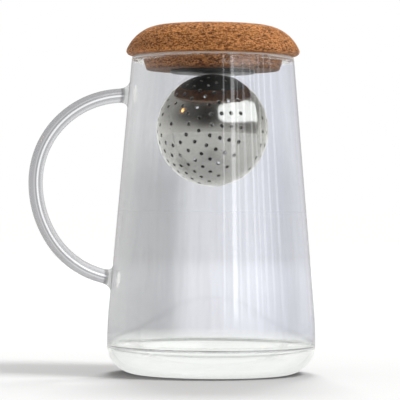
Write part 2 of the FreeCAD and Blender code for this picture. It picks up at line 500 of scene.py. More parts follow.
        # Painted highlight: a band of white on the lip's top.
        polish = nodes.product(nodes.span(height, *self.lip_highlight_band), self.rim_light)
        glass = nodes.mix(polish, glass, nodes.add("BsdfDiffuse", Color=(0.97, 0.98, 0.97, 1.0)))
        dim = nodes.math("MAXIMUM", path["Is Shadow Ray"], path["Is Diffuse Ray"])
        shades = nodes.ramp(nodes.span(height, 0.0, 0.16), [(0.0, self.shade_low), (0.85, self.shade_low),
                                                            (0.92, self.shade_high)])
        return nodes.finish(nodes.mix(dim, glass, nodes.add("BsdfTransparent", Color=shades)))

    def painted_far_shade(self, nodes: Nodes, place: object, height: object, radius: object) -> Socket:
        """The painted shade and reflections that the far wall shows: grey, darker on the left, with drawn streaks.

        Args:
            nodes: takes the new nodes.
            place: the point in the mug's own coordinates.
            height: its height.
            radius: its distance from the axis.

        Returns:
            The film's colour.
        """
        across = nodes.span(nodes.math("DIVIDE", nodes.vector("DOT_PRODUCT", place, self.facing), radius), -1.0, 1.0)
        low, high = (nodes.ramp(across, [((1 + q) / 2, level) for q, level in stops])
                     for stops in (self.painted_far_low, self.painted_far_high))
        painted_far_shade = nodes.blend("MIX", nodes.span(height, *self.painted_far_change), low, high)
        painted_far_shade = nodes.blend("MULTIPLY", 1.0, painted_far_shade, nodes.blend("MIX", across, self.painted_tone_left, self.painted_tone_right))
        streaky = nodes.noise(nodes.vector("MULTIPLY", place, self.streaks), 1.0, 4.0, Roughness=0.7)
        return nodes.blend("MULTIPLY", 1.0, painted_far_shade, nodes.ramp(streaky, [(0.25, 0.93), (0.5, 1.0), (0.75, 1.06)]))

    def painted_rod_lines(self, nodes: Nodes, place: object, off_wall: object) -> Socket:
        """Painted light and shade along the rod: light and dark lines for a solid glass rod's refraction and
        highlights, lighter or darker by which way the surface faces, and shade where it necks.

        Args:
            nodes: takes the new nodes.
            place: the point in the mug's own coordinates.
            off_wall: how far it lies outside the straight wall.

        Returns:
            The rod's colour, with its painted light and shade.
        """
        out = nodes.vector("MULTIPLY", nodes.vector("SUBTRACT", place, self.rod_centre), (1.0, 0.0, 1.0))
        normal = nodes.add("TexCoord").outputs["Normal"]
        side = nodes.span(nodes.vector("DOT_PRODUCT", normal, nodes.vector("NORMALIZE", out)), -1.0, 1.0)
        painted_rod_lines = nodes.ramp(side, [(at, (v, v, v * 1.03)) for at, v in self.painted_rod_bands])
        # Near the welds the lines give way to the glass's own green, lightened as painted light; the neck takes painted
        # shade.
        painted_rod_lines = nodes.blend("MIX", nodes.span(off_wall, *self.weld_until), painted_rod_lines, self.weld_green_and_light)
        return nodes.blend("MULTIPLY", 1.0, painted_rod_lines, nodes.ramp(nodes.span(off_wall, *self.neck_shade_span), self.neck))

    def marks(self, nodes: Nodes, place: object, off_wall: object) -> Socket:
        """The lens-like marks of the welds on the inner wall.

        Args:
            nodes: takes the new nodes.
            place: the point in the mug's own coordinates.
            off_wall: how far it lies outside the straight wall.

        Returns:
            How much light is bent there, and 0 beside the marks.
        """
        total = 0.0
        for height in self.welds:
            centre = (-(self.wall_foot - height * self.wall_slope - 0.0022), 0.0, height)
            near = nodes.span(nodes.vector("DISTANCE", place, centre), self.mark * 1.04, self.mark * 0.98)
            total = nodes.math("MAXIMUM", total, near)
        return nodes.product(total, self.mark_strength, nodes.math("LESS_THAN", off_wall, self.inner_face))


@dataclass(frozen=True)
class PressedSteel:
    """Polished stainless steel sheet with the faint waves of pressing."""

    name: str = "ball_steel"
    colour: tuple = (0.46, 0.455, 0.445)
    roughness: float = 0.10
    wave: float = 0.03

    def material(self) -> bpy.types.Material:
        """Builds the steel's nodes.

        Returns:
            The material.
        """
        nodes = Nodes(self.name)
        place = nodes.place()
        broad = nodes.noise(place, 60.0, 2.0)
        shade = nodes.ramp(broad, [(0.3, tuple(c * 0.94 for c in self.colour)), (0.7, self.colour)])
        spread = nodes.add("MapRange", Value=nodes.noise(place, 900.0, 4.0), i3=self.roughness * 0.8,
                           i4=self.roughness * 1.3)
        waves = nodes.add("Bump", Strength=self.wave, Distance=0.002, Height=broad)
        return nodes.finish(nodes.add("BsdfPrincipled", Base_Color=shade, Metallic=1.0, Roughness=spread, Normal=waves))


@dataclass(frozen=True)
class DarkPlate:
    """The steel plate, coloured near black, with a faint orange-peel."""

    colour: tuple = (0.013, 0.013, 0.014)
    roughness: float = 0.42

    def material(self) -> bpy.types.Material:
        """Builds the coat's nodes.

        Returns:
            Builds the plate's nodes.
        """
        nodes = Nodes("near_black_plate")
        peel = nodes.noise(nodes.place(), 1500.0, 3.0)
        shade = nodes.ramp(peel, [(0.3, self.colour), (0.8, tuple(c * 1.6 for c in self.colour))])
        spread = nodes.add("MapRange", Value=peel, i3=self.roughness * 0.7, i4=self.roughness * 1.4)
        relief = nodes.add("Bump", Strength=0.08, Distance=0.0002, Height=peel)
        return nodes.finish(nodes.add("BsdfPrincipled", Base_Color=shade, Roughness=spread, Specular_IOR_Level=0.25,
                                      Normal=relief))


@dataclass(frozen=True)
class TurnedCork:
    """Agglomerated cork: packed granules of several browns with dark gaps."""

    light: tuple = (0.75, 0.318, 0.100)
    middle: tuple = (0.47, 0.158, 0.030)
    dark: tuple = (0.13, 0.037, 0.010)
    gap: tuple = (0.035, 0.014, 0.008)
    # Painted shade on the stopper's underside, and the heights over which it fades.
    underside_shade: tuple = (0.42, 0.36, 0.32)
    underside_shade_span: tuple = (0.1513, 0.1530)
    stretch: float = 2.1
    grain: float = 860.0
    speck: float = 1750.0

    def material(self) -> bpy.types.Material:
        """Builds the cork's nodes.

        Returns:
            The material.
        """
        nodes = Nodes("turned_cork")
        place = nodes.place()
        laid = nodes.vector("MULTIPLY", place, (1.0, 1.0, self.stretch))
        bend = nodes.add("TexNoise", Vector=laid, Scale=500.0, Detail=3.0).outputs["Color"]
        bent = nodes.add("VectorMath", {"operation": "MULTIPLY_ADD"}, i0=bend, i1=(0.0012,) * 3, i2=laid)
        grains, specks = (nodes.add("SeparateColor", Color=nodes.add("TexVoronoi", Vector=bent, Scale=scale).outputs[
            "Color"]).outputs for scale in (self.grain, self.speck))
        colour = nodes.ramp(grains[0], [(0.0, self.dark), (0.20, self.middle), (0.55, self.light),
                                        (1.0, tuple(c * 1.18 for c in self.light))])
        colour = nodes.blend("MULTIPLY", 1.0, colour, nodes.ramp(specks[1], [(0.0, 0.72), (0.6, 1.08)]))
        pores = nodes.ramp(specks[0], [(0.10, 1.0), (0.14, 0.0)])
        colour = nodes.blend("MIX", pores, colour, self.gap)
        edges = nodes.add("TexVoronoi", {"feature": "DISTANCE_TO_EDGE"}, Vector=bent, Scale=self.grain)
        colour = nodes.blend("MIX", nodes.ramp(edges, [(0.02, 0.55), (0.10, 0.0)]), colour, self.dark)
        broad = nodes.ramp(nodes.noise(place, 90.0, 3.0), [(0.3, 0.80), (0.7, 1.0)])
        colour = nodes.blend("MULTIPLY", 1.0, colour, broad)
        # Painted shade: the stopper's underside is darkened, fading out a little above it.
        level = nodes.span(nodes.add("SeparateXYZ", Vector=place).outputs["Z"], *self.underside_shade_span)
        colour = nodes.blend("MULTIPLY", 1.0, colour, nodes.ramp(level, [(0.0, self.underside_shade), (1.0, 1.0)]))
        height = nodes.math("SUBTRACT", grains[1], nodes.product(pores, 1.6))
        relief = nodes.add("Bump", Strength=0.8, Distance=0.0003, Height=height)
        return nodes.finish(nodes.add("BsdfPrincipled", Base_Color=colour, Roughness=0.60, Specular_IOR_Level=0.22,
                                      Normal=relief))


@dataclass
class GlassMug:
    """The tapered glass with its rod handle, one closed skin of glass."""

    height: float = 158.5
    rim_radius: float = 40.4
    foot_radius: float = 51.99
    foot_height: float = 24.0
    foot_blend: float = 250.0
    wall: float = 2.2
    lip: float = 3.0
    lip_height: float = 2.7
    corner: float = 14.5
    inner_corner: float = 12.0
    floor: float = 3.5
    punt: float = 2.8
    punt_radius: float = 22.0
    punt_slope: float = 10.0
    punt_blend: float = 15.0
    rod: float = 3.5
    top_weld: float = 138.5
    top_slope: float = 5.6
    bottom_weld: float = 47.2
    bottom_slope: float = 15.9
    reach: float = 89.1
    reach_height: float = 94.9
    straight: float = 7.0
    columns: int = 200
    window: int = 11
    flare_foot: float = 9.6
    flare_length: float = 5.4
    flare_steps: int = 7
    patch_steps: int = 4
    bump_radius: float = 4.5
    bump_height: float = 0.35
    bump: tuple = ((1.25, 0), (1.12, 0.04), (1.05, 0.2), (1.0, 0.5), (0.94, 0.82), (0.86, 0.96), (0.74, 1), (0.55, 1),
                   (0.3, 1))

    def radius_at(self, height: float, inset: float = 0.0) -> float:
        """Radius of the straight tapered wall at a height, less an inset."""
        rise = (height - self.foot_height) / (self.height - self.foot_height)
        return self.foot_radius - (self.foot_radius - self.rim_radius) * rise - inset

    @property
    def lean(self) -> float:
        """The wall's lean from upright, in radians."""
        return math.atan((self.foot_radius - self.rim_radius) / (self.height - self.foot_height))

    def outline(self) -> list:
        """The outline of the glass from its underside over the lip to its floor.

        Returns:
            (radius, height) points.
        """
        inset = self.wall / math.cos(self.lean)
        lip_inset = self.lip / math.cos(self.lean)
        lip_foot = self.height - self.lip_height
        below = lip_foot - self.lip_height
        ring = self.punt_radius + self.punt_slope
        polish = self.lip * 0.45
        line = Outline(spacing=1.1, turn_step=5.0)
        line.corners([
            (0, self.punt, 0),
            (self.punt_radius, self.punt, self.punt_blend),
            (ring, 0, self.punt_blend),
            (self.foot_radius, 0, self.corner),
            (self.foot_radius, self.foot_height, self.foot_blend),
            (self.rim_radius, self.height, polish),
            (self.rim_radius - lip_inset, self.height, polish),
            (self.radius_at(lip_foot) - lip_inset, lip_foot, self.lip - self.wall),
            (self.radius_at(below) - inset, below, self.lip_height / 2),
            (self.foot_radius - inset, self.foot_height, self.foot_blend),
            (self.foot_radius - inset, self.floor, self.inner_corner),
            (ring, self.floor, self.punt_blend),
            (self.punt_radius, self.punt + self.floor, self.punt_blend),
            (0, self.punt + self.floor, 0),
        ])
        return line.points

    def wall_point(self, across: float, along: float, weld: float, inset: float) -> tuple:
        """A point of the straight wall near a weld, and its outward normal.

        Args:
            across: distance round the wall from the weld's centre, towards +Y.
            along: distance up the wall from the weld's centre.
            weld: height of the weld's centre.
            inset: 0 outside, the wall's level thickness inside.

        Returns:
            The point and the normal.
        """
        height = weld + along * math.cos(self.lean)
        radius = self.radius_at(height, inset)
        angle = math.pi - across / self.radius_at(weld, inset)
        level = Vector((math.cos(angle), math.sin(angle), 0))
        point = level * radius + UP * height
        return point, level * math.cos(self.lean) + UP * math.sin(self.lean)

    def window_of(self, outline: list, weld: float, inset: float) -> tuple:
        """The window of rows and columns round a weld.

        Args:
            outline: the turned outline.
            weld: height of the weld's centre.
            inset: 0 outside, the wall's level thickness inside.

        Returns:
            First and last row, first and last column.
        """
        on_wall = [i for i, p in enumerate(outline) if abs(p.x - self.radius_at(p.y, inset)) < 0.02]
        row = min(on_wall, key=lambda i: abs(outline[i].y - weld))
        column = self.columns // 2
        return row - self.window, row + self.window, column - self.window, column + self.window

    def loop_round(self, rows: list, window: tuple, upward: bool) -> list:
        """The vertices on a window's edge, anticlockwise from its +Y side as seen from outside.

        Args:
            rows: rows of vertex numbers.
            window: as window_of() returns it.
            upward: whether the rows climb.

        Returns:
            The loop of vertex numbers.
        """
        first, last, left, right = window
        middle = (first + last) // 2
        low, high = (first, last) if upward else (last, first)
        step = 1 if upward else -1
        loop = [rows[i][left] for i in range(middle, high, step)]
        loop += [rows[high][j] for j in range(left, right)]
        loop += [rows[i][right] for i in range(high, low, -step)]
        loop += [rows[low][j] for j in range(right, left, -1)]
        loop += [rows[i][left] for i in range(low, middle, step)]
        return loop

    def patch(self, surface: Surface, loop: list, weld: float, inset: float, rings: list, way: int = 1) -> list:
        """Fills a window with rings of vertices that close in on a weld.

        Args:
            surface: takes the vertices and faces.
            loop: the window's edge.
            weld: height of the weld's centre.
            inset: 0 outside, the wall's level thickness inside.
            rings: radius and height over the wall of each round ring, from the outermost.
            way: -1 where the loop runs clockwise.

        Returns:
            The last ring.
        """
        edge = []
        for vertex in loop:
            point = surface.points[vertex]
            angle = math.atan2(point.y, -point.x)
            edge.append((angle * self.radius_at(weld, inset), (point.z - weld) / math.cos(self.lean)))
        plan = [(i / self.patch_steps, rings[0][0], 0.0) for i in range(1, self.patch_steps + 1)]
        for share, radius, off in plan + [(1.0, radius, off) for radius, off in rings[1:]]:
            following = []
            for (across, along), (c, s) in zip(edge, circle(len(loop))):
                across = across * (1 - share) + radius * c * share
                along = along * (1 - share) + way * radius * s * share
                point, normal = self.wall_point(across, along, weld, inset)
                following.append(surface.add(point + normal * off))
            surface.bridge(loop, following)
            loop = following
        return loop

    def handle_line(self) -> tuple:
        """The rod's centre line between the welds.

        Returns:
            Points, and the unit direction at each.
        """
        down, up = math.radians(self.top_slope), math.radians(self.bottom_slope)
        outward = Vector((-math.cos(down), 0, -math.sin(down)))
        inward = Vector((math.cos(up), 0, -math.sin(up)))
        top = Vector((-self.radius_at(self.top_weld), 0, self.top_weld))
        bottom = Vector((-self.radius_at(self.bottom_weld), 0, self.bottom_weld))
        widest = Vector((-self.reach, 0, self.reach_height))
        points = [top, top + outward * self.straight]
        directions = [outward, outward]
        for start, leave, end, arrive in ((points[-1], outward, widest, -UP),
                                          (widest, -UP, bottom - inward * self.straight, inward)):
            across = end - start
            both = across.dot(leave + arrive)
            spread = 2 * (1 - leave.dot(arrive))
            step = (math.sqrt(both ** 2 + spread * across.dot(across)) - both) / spread
            joint = (start + end + (leave - arrive) * step) * 0.5
            heading = leave
            for begin, finish in ((start, joint), (joint, end)):
                chord = (finish - begin).normalized()
                turn = heading.angle(chord)
                side = (heading - chord * heading.dot(chord)).normalized()
                radius = (finish - begin).length / (2 * math.sin(turn))
                hub = begin - (side * math.cos(turn) - chord * math.sin(turn)) * radius
                count = max(4, math.ceil(2 * turn * radius / 1.6))
                axis = heading.cross(chord).normalized()
                for i in range(1, count + 1):
                    spin = Matrix.Rotation(2 * turn * i / count, 3, axis)
                    points.append(hub + spin @ (begin - hub))
                    directions.append((spin @ heading).normalized())
                heading = directions[-1]
        points.append(bottom)
        directions.append(inward)
        return points, directions

    def flare(self, surface: Surface, ring: list, weld: float, away: Vector, downward: int) -> list:
        """The hollow glass that flows from the wall to the rod at a weld.

        Args:
            surface: takes the vertices and faces.
            ring: the loop on the wall.
            weld: height of the weld's centre.
            away: the rod's direction away from the wall.
            downward: 1 where the rod's second side looks up, -1 where it looks down.

        Returns:
            The loop on the rod.
        """
        centre = Vector((-self.radius_at(weld), 0, weld))
        across = Vector((0, 1, 0))
        second = across.cross(away) * downward
        curves = []
        for vertex, (c, s) in zip(ring, circle(len(ring))):
            start = centre + (across * c + second * s) * self.rod
            level = Vector((start.x, start.y, 0))
            gap = level.length - self.radius_at(start.z)
            base = start - away * (gap / level.normalized().dot(away))
            curves.append((surface.points[vertex], base, base + away * self.flare_length))
        for i in range(1, self.flare_steps + 1):
            t = i / self.flare_steps
            row = [surface.add(foot * (1 - t) ** 2 + bend * 2 * t * (1 - t) + top * t ** 2)
                   for foot, bend, top in curves]
            surface.bridge(ring, row)
            ring = row
        return ring

    def build(self) -> Piece:
        """Builds the glass.

        Returns:
            The piece.
        """
        surface = Surface()
        line = self.outline()
        rows = turned(surface, line, self.columns)
        inset = self.wall / math.cos(self.lean)
        bump = [(self.bump_radius * out, -self.bump_height * rise) for out, rise in self.bump]
        windows, rings = [], []
        for weld, way in ((self.top_weld, 1), (self.bottom_weld, -1)):
            outer, inner = self.window_of(line, weld, 0.0), self.window_of(line, weld, inset)
            windows += [outer, inner]
            loop = self.loop_round(rows, outer, True)
            if way < 0:
                loop = [loop[0]] + loop[:0:-1]
            rings.append(self.patch(surface, loop, weld, 0.0, [(self.flare_foot, 0.0)], way))
            last = self.patch(surface, self.loop_round(rows, inner, False), weld, inset, bump)
            point, normal = self.wall_point(0, 0, weld, inset)
            surface.fan(last, surface.add(point - normal * self.bump_height))
        skin(surface, rows, windows)
        self.rod_between(surface, rings)
        return surface.build("glass_mug")

    def rod_between(self, surface: Surface, rings: list) -> None:
        """Sweeps the rod from one flare to the other.

        Args:
            surface: takes the vertices and faces.
            rings: the loops on the wall at the upper and the lower weld.
        """
        points, directions = self.handle_line()
        ring = self.flare(surface, rings[0], self.top_weld, directions[0], 1)
        lower = self.flare(surface, rings[1], self.bottom_weld, -directions[-1], -1)
        across = Vector((0, 1, 0))
        for point, direction in zip(points[1:-1], directions[1:-1]):
            second = across.cross(direction)
            row = [surface.add(point + (across * c + second * s) * self.rod) for c, s in circle(len(ring))]
            surface.bridge(ring, row)
            ring = row
        surface.bridge(ring, lower)

    def dress(self, piece: Piece, glass: ClearGlass) -> None:
        """Gives the glass its material and body.

        Args:
            piece: the glass.
            glass: its finish.
        """
        wear(piece, glass.material())
        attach(piece, Body.MUG.value)
        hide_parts("mug_body", "mug_handle")


@dataclass
class CorkLid:
    """The turned cork cap and stopper, with the steel plate and the magnet."""

    underside: float = 158.8
    radius: float = 43.3
    edge: float = 2.0
    side: float = 20.0
    side_angle: float = 66.9
    crown_rise: float = 0.4
    stopper: float = 35.4
    taper: float = 2.2
    depth: float = 7.4
    stopper_edge: float = 1.2
    recess_radius: float = 10.2
    recess_depth: float = 3.2
    columns: int = 420
    grain: float = 1.15
    relief: float = 0.10

    def outline(self) -> list:
        """The cork's outline from its recess round the stopper and over the cap.

        Returns:
            (radius, height) points.
        """
        foot = self.underside - self.depth
        line = Outline(spacing=0.6, turn_step=8.0)
        line.corners([
            (0, foot + self.recess_depth, 0),
            (self.recess_radius, foot + self.recess_depth, 0.1),
            (self.recess_radius, foot, 0.3),
            (self.stopper - self.taper, foot, self.stopper_edge),
            (self.stopper, self.underside, 0.8),
            (self.radius - self.edge, self.underside, 0),
        ])
        edge_centre = Vector((self.radius - self.edge, self.underside + self.edge))
        angle = math.radians(self.side_angle)
        side_centre = edge_centre - Vector((math.sin(angle), math.cos(angle))) * (self.side - self.edge)
        spread = side_centre.x ** 2 + 2 * self.side * self.crown_rise + self.crown_rise ** 2
        crown = spread / (2 * self.crown_rise)
        hub = Vector((0, side_centre.y + self.side + self.crown_rise - crown))
        end = math.degrees(math.atan2(side_centre.x, side_centre.y - hub.y))
        line.arc_about(edge_centre, self.edge, 180.0, self.side_angle)
        line.arc_about(side_centre, self.side, self.side_angle, end)
        line.arc_about(hub, crown, end, 0)
        line.points[-1].x = 0
        return line.points

    def sink(self, point: Vector) -> float:
        """How deep granules and pits go at a point.

        Args:
            point: on the turned form.

        Returns:
            The depth.
        """
        near, places = noise.voronoi(point / self.grain)
        gap = near[1] - near[0]
        level = noise.cell(places[0] * 7.3) * 0.5 + 0.5
        depth = self.relief * (0.35 * level + 0.65 * max(0.0, 1 - gap * 5))
        pit = noise.noise(point * 0.55 + Vector((3, 1, 7)))
        deep, _ = noise.voronoi(point / 2.9)
        if deep[0] < 0.17 and pit > 0.05:
            depth += 0.28 * (1 - deep[0] / 0.17)
        return depth

    def build(self) -> Piece:
        """Builds the cork.

        Returns:
            The piece.
        """
        surface = Surface()
        line = self.outline()
        rows = turned(surface, line, self.columns)
        skin(surface, rows)
        for i, row in enumerate(rows):
            ahead = line[min(i + 1, len(line) - 1)] - line[max(i - 1, 0)]
            out = Vector((ahead.y, -ahead.x)).normalized()
            if line[i].x < self.recess_radius + 1 and line[i].y < self.underside:
                continue
            for vertex in row:
                point = surface.points[vertex]
                level = Vector((point.x, point.y, 0))
                level = level.normalized() if level.length > 1e-6 else Vector()
                surface.points[vertex] = point - (level * out.x + UP * out.y) * self.sink(point)
        return surface.build("cork_stopper")

    def dress(self, piece: Piece, cork: TurnedCork, plate: DarkPlate, magnet: PressedSteel) -> None:
        """Gives the cork, the plate and the magnet their materials.

        Args:
            piece: the cork.
            cork: its finish.
            plate: the plate's finish.
            magnet: the magnet's finish.
        """
        wear(piece, cork.material())
        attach(piece, Body.LID.value)
        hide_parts("lid_cork")
        wear(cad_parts["lid_plate"], plate.material())
        wear(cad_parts["lid_magnet"], magnet.material())


@dataclass
class PerforatedShell:
    """One pressed half of the infuser ball, with rounded holes."""

    name: str
    body: Body
    node: str
    pole: int
    edge_angle: float
    inner_edge_angle: float
    ring_angles: tuple
    ring_counts: tuple
    band: tuple
    radius: float = 28.0
    sheet: float = 0.45
    hole: float = 0.9
    lip: float = 0.24
    lip_sink: float = 0.10
    height: float = 121.5
    turn: float = 60.0
    lift: float = 5.0
    hole_sides: int = 24
    edge_sides: int = 192
    spacing: float = 1.5

    def place(self) -> Matrix:
        """From the ball's own axes to the way it hangs.

        Returns:
            The turn and move, in millimetres.
        """
        turn, lift = math.radians(self.turn), math.radians(self.lift)
        pole = Vector((-math.sin(turn) * math.cos(lift), -math.cos(turn) * math.cos(lift), math.sin(lift)))
        upward = (UP - pole * UP.dot(pole)).normalized()
        side = upward.cross(pole)
        rotation = Matrix((side, upward, pole)).transposed().to_4x4()
        return Matrix.Translation(UP * self.height) @ rotation

    def direction(self, tilt: float, around: float) -> Vector:
        """A unit vector by its angle from this half's pole and its turn round it, in radians."""
        return Vector((math.sin(tilt) * math.cos(around), math.sin(tilt) * math.sin(around),
                       math.cos(tilt) * self.pole))

    def holes(self) -> list:
        """The directions of all the holes' axes.

        Returns:
            Unit vectors, the pole's first.
        """
        found = [self.direction(0, 0)]
        for index, (angle, count) in enumerate(zip(self.ring_angles, self.ring_counts)):
            stagger = math.pi / count if index == 1 else 0.0
            found += [self.direction(math.radians(angle), stagger + 2 * math.pi * i / count) for i in range(count)]
        return found

    def spread(self, direction: Vector) -> Vector:
        """A direction laid flat, at its arc distance from the pole.

        Args:
            direction: a unit vector.

        Returns:
            The flat point, in millimetres.
        """
        level = Vector((direction.x, direction.y))
        tilt = math.acos(max(-1.0, min(1.0, direction.z * self.pole)))
        return level.normalized() * tilt * self.radius if level.length > 1e-9 else Vector((0, 0))

    def hole_ring(self, axis: Vector, radius: float) -> list:
        """A circle on the sphere round a hole's axis.

        Args:
            axis: the hole's direction.
            radius: of the circle, on the sphere.

        Returns:
            Unit vectors.
        """
        first = axis.orthogonal().normalized()
        second = axis.cross(first)
        dip = math.asin(radius / self.radius)
        return [axis * math.cos(dip) + (first * c + second * s) * math.sin(dip) for c, s in circle(self.hole_sides)]

    def flat_net(self) -> tuple:
        """The dome's triangles between its holes.

        Returns:
            The directions, the triangles, the holes' outer loops, the edge loop and the holes' axes.
        """
        directions, loops, constraints = [], [], []
        axes = self.holes()
        for axis in axes:
            first = len(directions)
            directions += self.hole_ring(axis, self.hole + self.lip)
            loops.append(list(range(first, len(directions))))
        first = len(directions)
        tilt = math.radians(self.edge_angle)
        directions += [self.direction(tilt, 2 * math.pi * i / self.edge_sides) for i in range(self.edge_sides)]
        edge = list(range(first, len(directions)))
        for loop in loops + [edge]:
            constraints += [(loop[i], loop[(i + 1) % len(loop)]) for i in range(len(loop))]
        flat_axes = [self.spread(a) for a in axes]
        reach = self.hole + self.lip
        inner_limit = math.radians(self.inner_edge_angle) * self.radius
        rings = int((inner_limit - 0.6) / self.spacing)
        for r in range(1, rings + 1):
            arc = r * (inner_limit - 0.6) / rings
            tilt = arc / self.radius
            count = max(6, round(2 * math.pi * self.radius * math.sin(tilt) / self.spacing))
            for i in range(count):
                spot = self.direction(tilt, 2 * math.pi * (i + 0.5 * (r % 2)) / count)
                if all(spot.angle(a) * self.radius > reach + 0.55 for a in axes):
                    directions.append(spot)
        flat = [self.spread(d) for d in directions]
        found = delaunay_2d_cdt(flat, constraints, [], 0, 1e-5)
        back = [origin[0] for origin in found[3]]
        owner = {vertex: number for number, loop in enumerate(loops) for vertex in loop}
        triangles = [tuple(back[v] for v in face) for face in found[2]]
        triangles = [t for t in triangles if t[0] not in owner or len({owner.get(v) for v in t}) > 1]
        return directions, triangles, loops, edge, axes

    def build(self) -> Piece:
        """Builds the shell.

        Returns:
            The piece.
        """
        surface = Surface()
        directions, triangles, loops, edge, axes = self.flat_net()
        inside = self.radius - self.sheet
        outer = [surface.add(d * self.radius, d) for d in directions]
        inner = []
        on_edge = set(edge)
        tilt = math.radians(self.inner_edge_angle)
        for number, d in enumerate(directions):
            if number in on_edge:
                d = self.direction(tilt, 2 * math.pi * (number - edge[0]) / self.edge_sides)
            inner.append(surface.add(d * inside, -d))
        for a, b, c in triangles:
            surface.faces.append((outer[a], outer[b], outer[c]))
            surface.faces.append((inner[a], inner[c], inner[b]))
        for axis, loop in zip(axes, loops):
            self.rim_of_hole(surface, axis, [outer[v] for v in loop], [inner[v] for v in loop])
        ring = [outer[v] for v in edge]
        for radius, height, out, along in self.band:
            row = []
            for c, s in circle(self.edge_sides):
                level = Vector((c, s, 0))
                row.append(surface.add(level * radius + UP * height, (level * out + UP * along).normalized()))
            surface.bridge(ring, row)
            ring = row
        surface.bridge(ring, [inner[v] for v in edge])
        return surface.build(self.name, self.place(), True)

    def rim_of_hole(self, surface: Surface, axis: Vector, outer: list, inner: list) -> None:
        """The rounded rim of one hole, from the outside to the inside of the sheet.

        Args:
            surface: takes the vertices and faces.
            axis: the hole's direction.
            outer: the loop round the hole on the outside.
            inner: the same loop on the inside.
        """
        ring = outer
        profile = ((self.lip * 0.45, 0.03, 0.30), (self.lip * 0.12, self.lip_sink, 0.75),
                   (0.0, self.lip_sink + 0.12, 1.0), (0.0, self.sheet, 0.9))
        for out, sink, lean in profile:
            row = []
            for d in self.hole_ring(axis, self.hole + out):
                inward = (axis - d * axis.dot(d)).normalized()
                row.append(surface.add(d * (self.radius - sink), d * (1 - lean) + inward * lean))
            surface.bridge(ring, row)
            ring = row
        surface.bridge(ring, inner)

    def dress(self, piece: Piece, steel: bpy.types.Material) -> None:
        """Gives the shell its material and body.

        Args:
            piece: the shell.
            steel: its material.
        """
        wear(piece, steel)
        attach(piece, self.body.value)
        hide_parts(self.node)


def front_shell() -> PerforatedShell:
    """The front half, with its straight skirt.

    Returns:
        The shell's measures.
    """
    return PerforatedShell(
        "ball_front", Body.FRONT, "infuser_front_half", 1, 90.0, 90.0,
        (22.0, 33.4, 45.6, 55.9, 65.8, 76.7), (12, 16, 24, 24, 24, 24),
        ((28.0, -2.0, 1, 0), (28.0, -3.95, 1, 0), (27.9, -4.08, 0.7, -0.7), (27.75, -4.1, 0, -1),
         (27.6, -4.06, -0.7, -0.7), (27.55, -3.95, -1, 0), (27.55, -2.0, -1, 0)))


def rear_shell() -> PerforatedShell:
    """The rear half, with the neck that slides into the skirt.

    Returns:
        The shell's measures.
    """
    return PerforatedShell(
        "ball_rear", Body.REAR, "infuser_rear_half", -1, 81.373, 79.07,
        (22.0, 34.0, 46.0, 58.0, 70.0), (12, 16, 24, 24, 24),
        ((27.6, -4.19, 0.5, 0.8), (27.52, -4.15, 0.9, 0.4), (27.5, -4.0, 1, 0), (27.5, -0.5, 1, 0),
         (27.42, -0.42, 0.7, 0.7), (27.28, -0.4, 0, 1), (27.12, -0.43, -0.7, 0.7), (27.05, -0.55, -1, 0),
         (27.05, -4.8, -1, 0)))


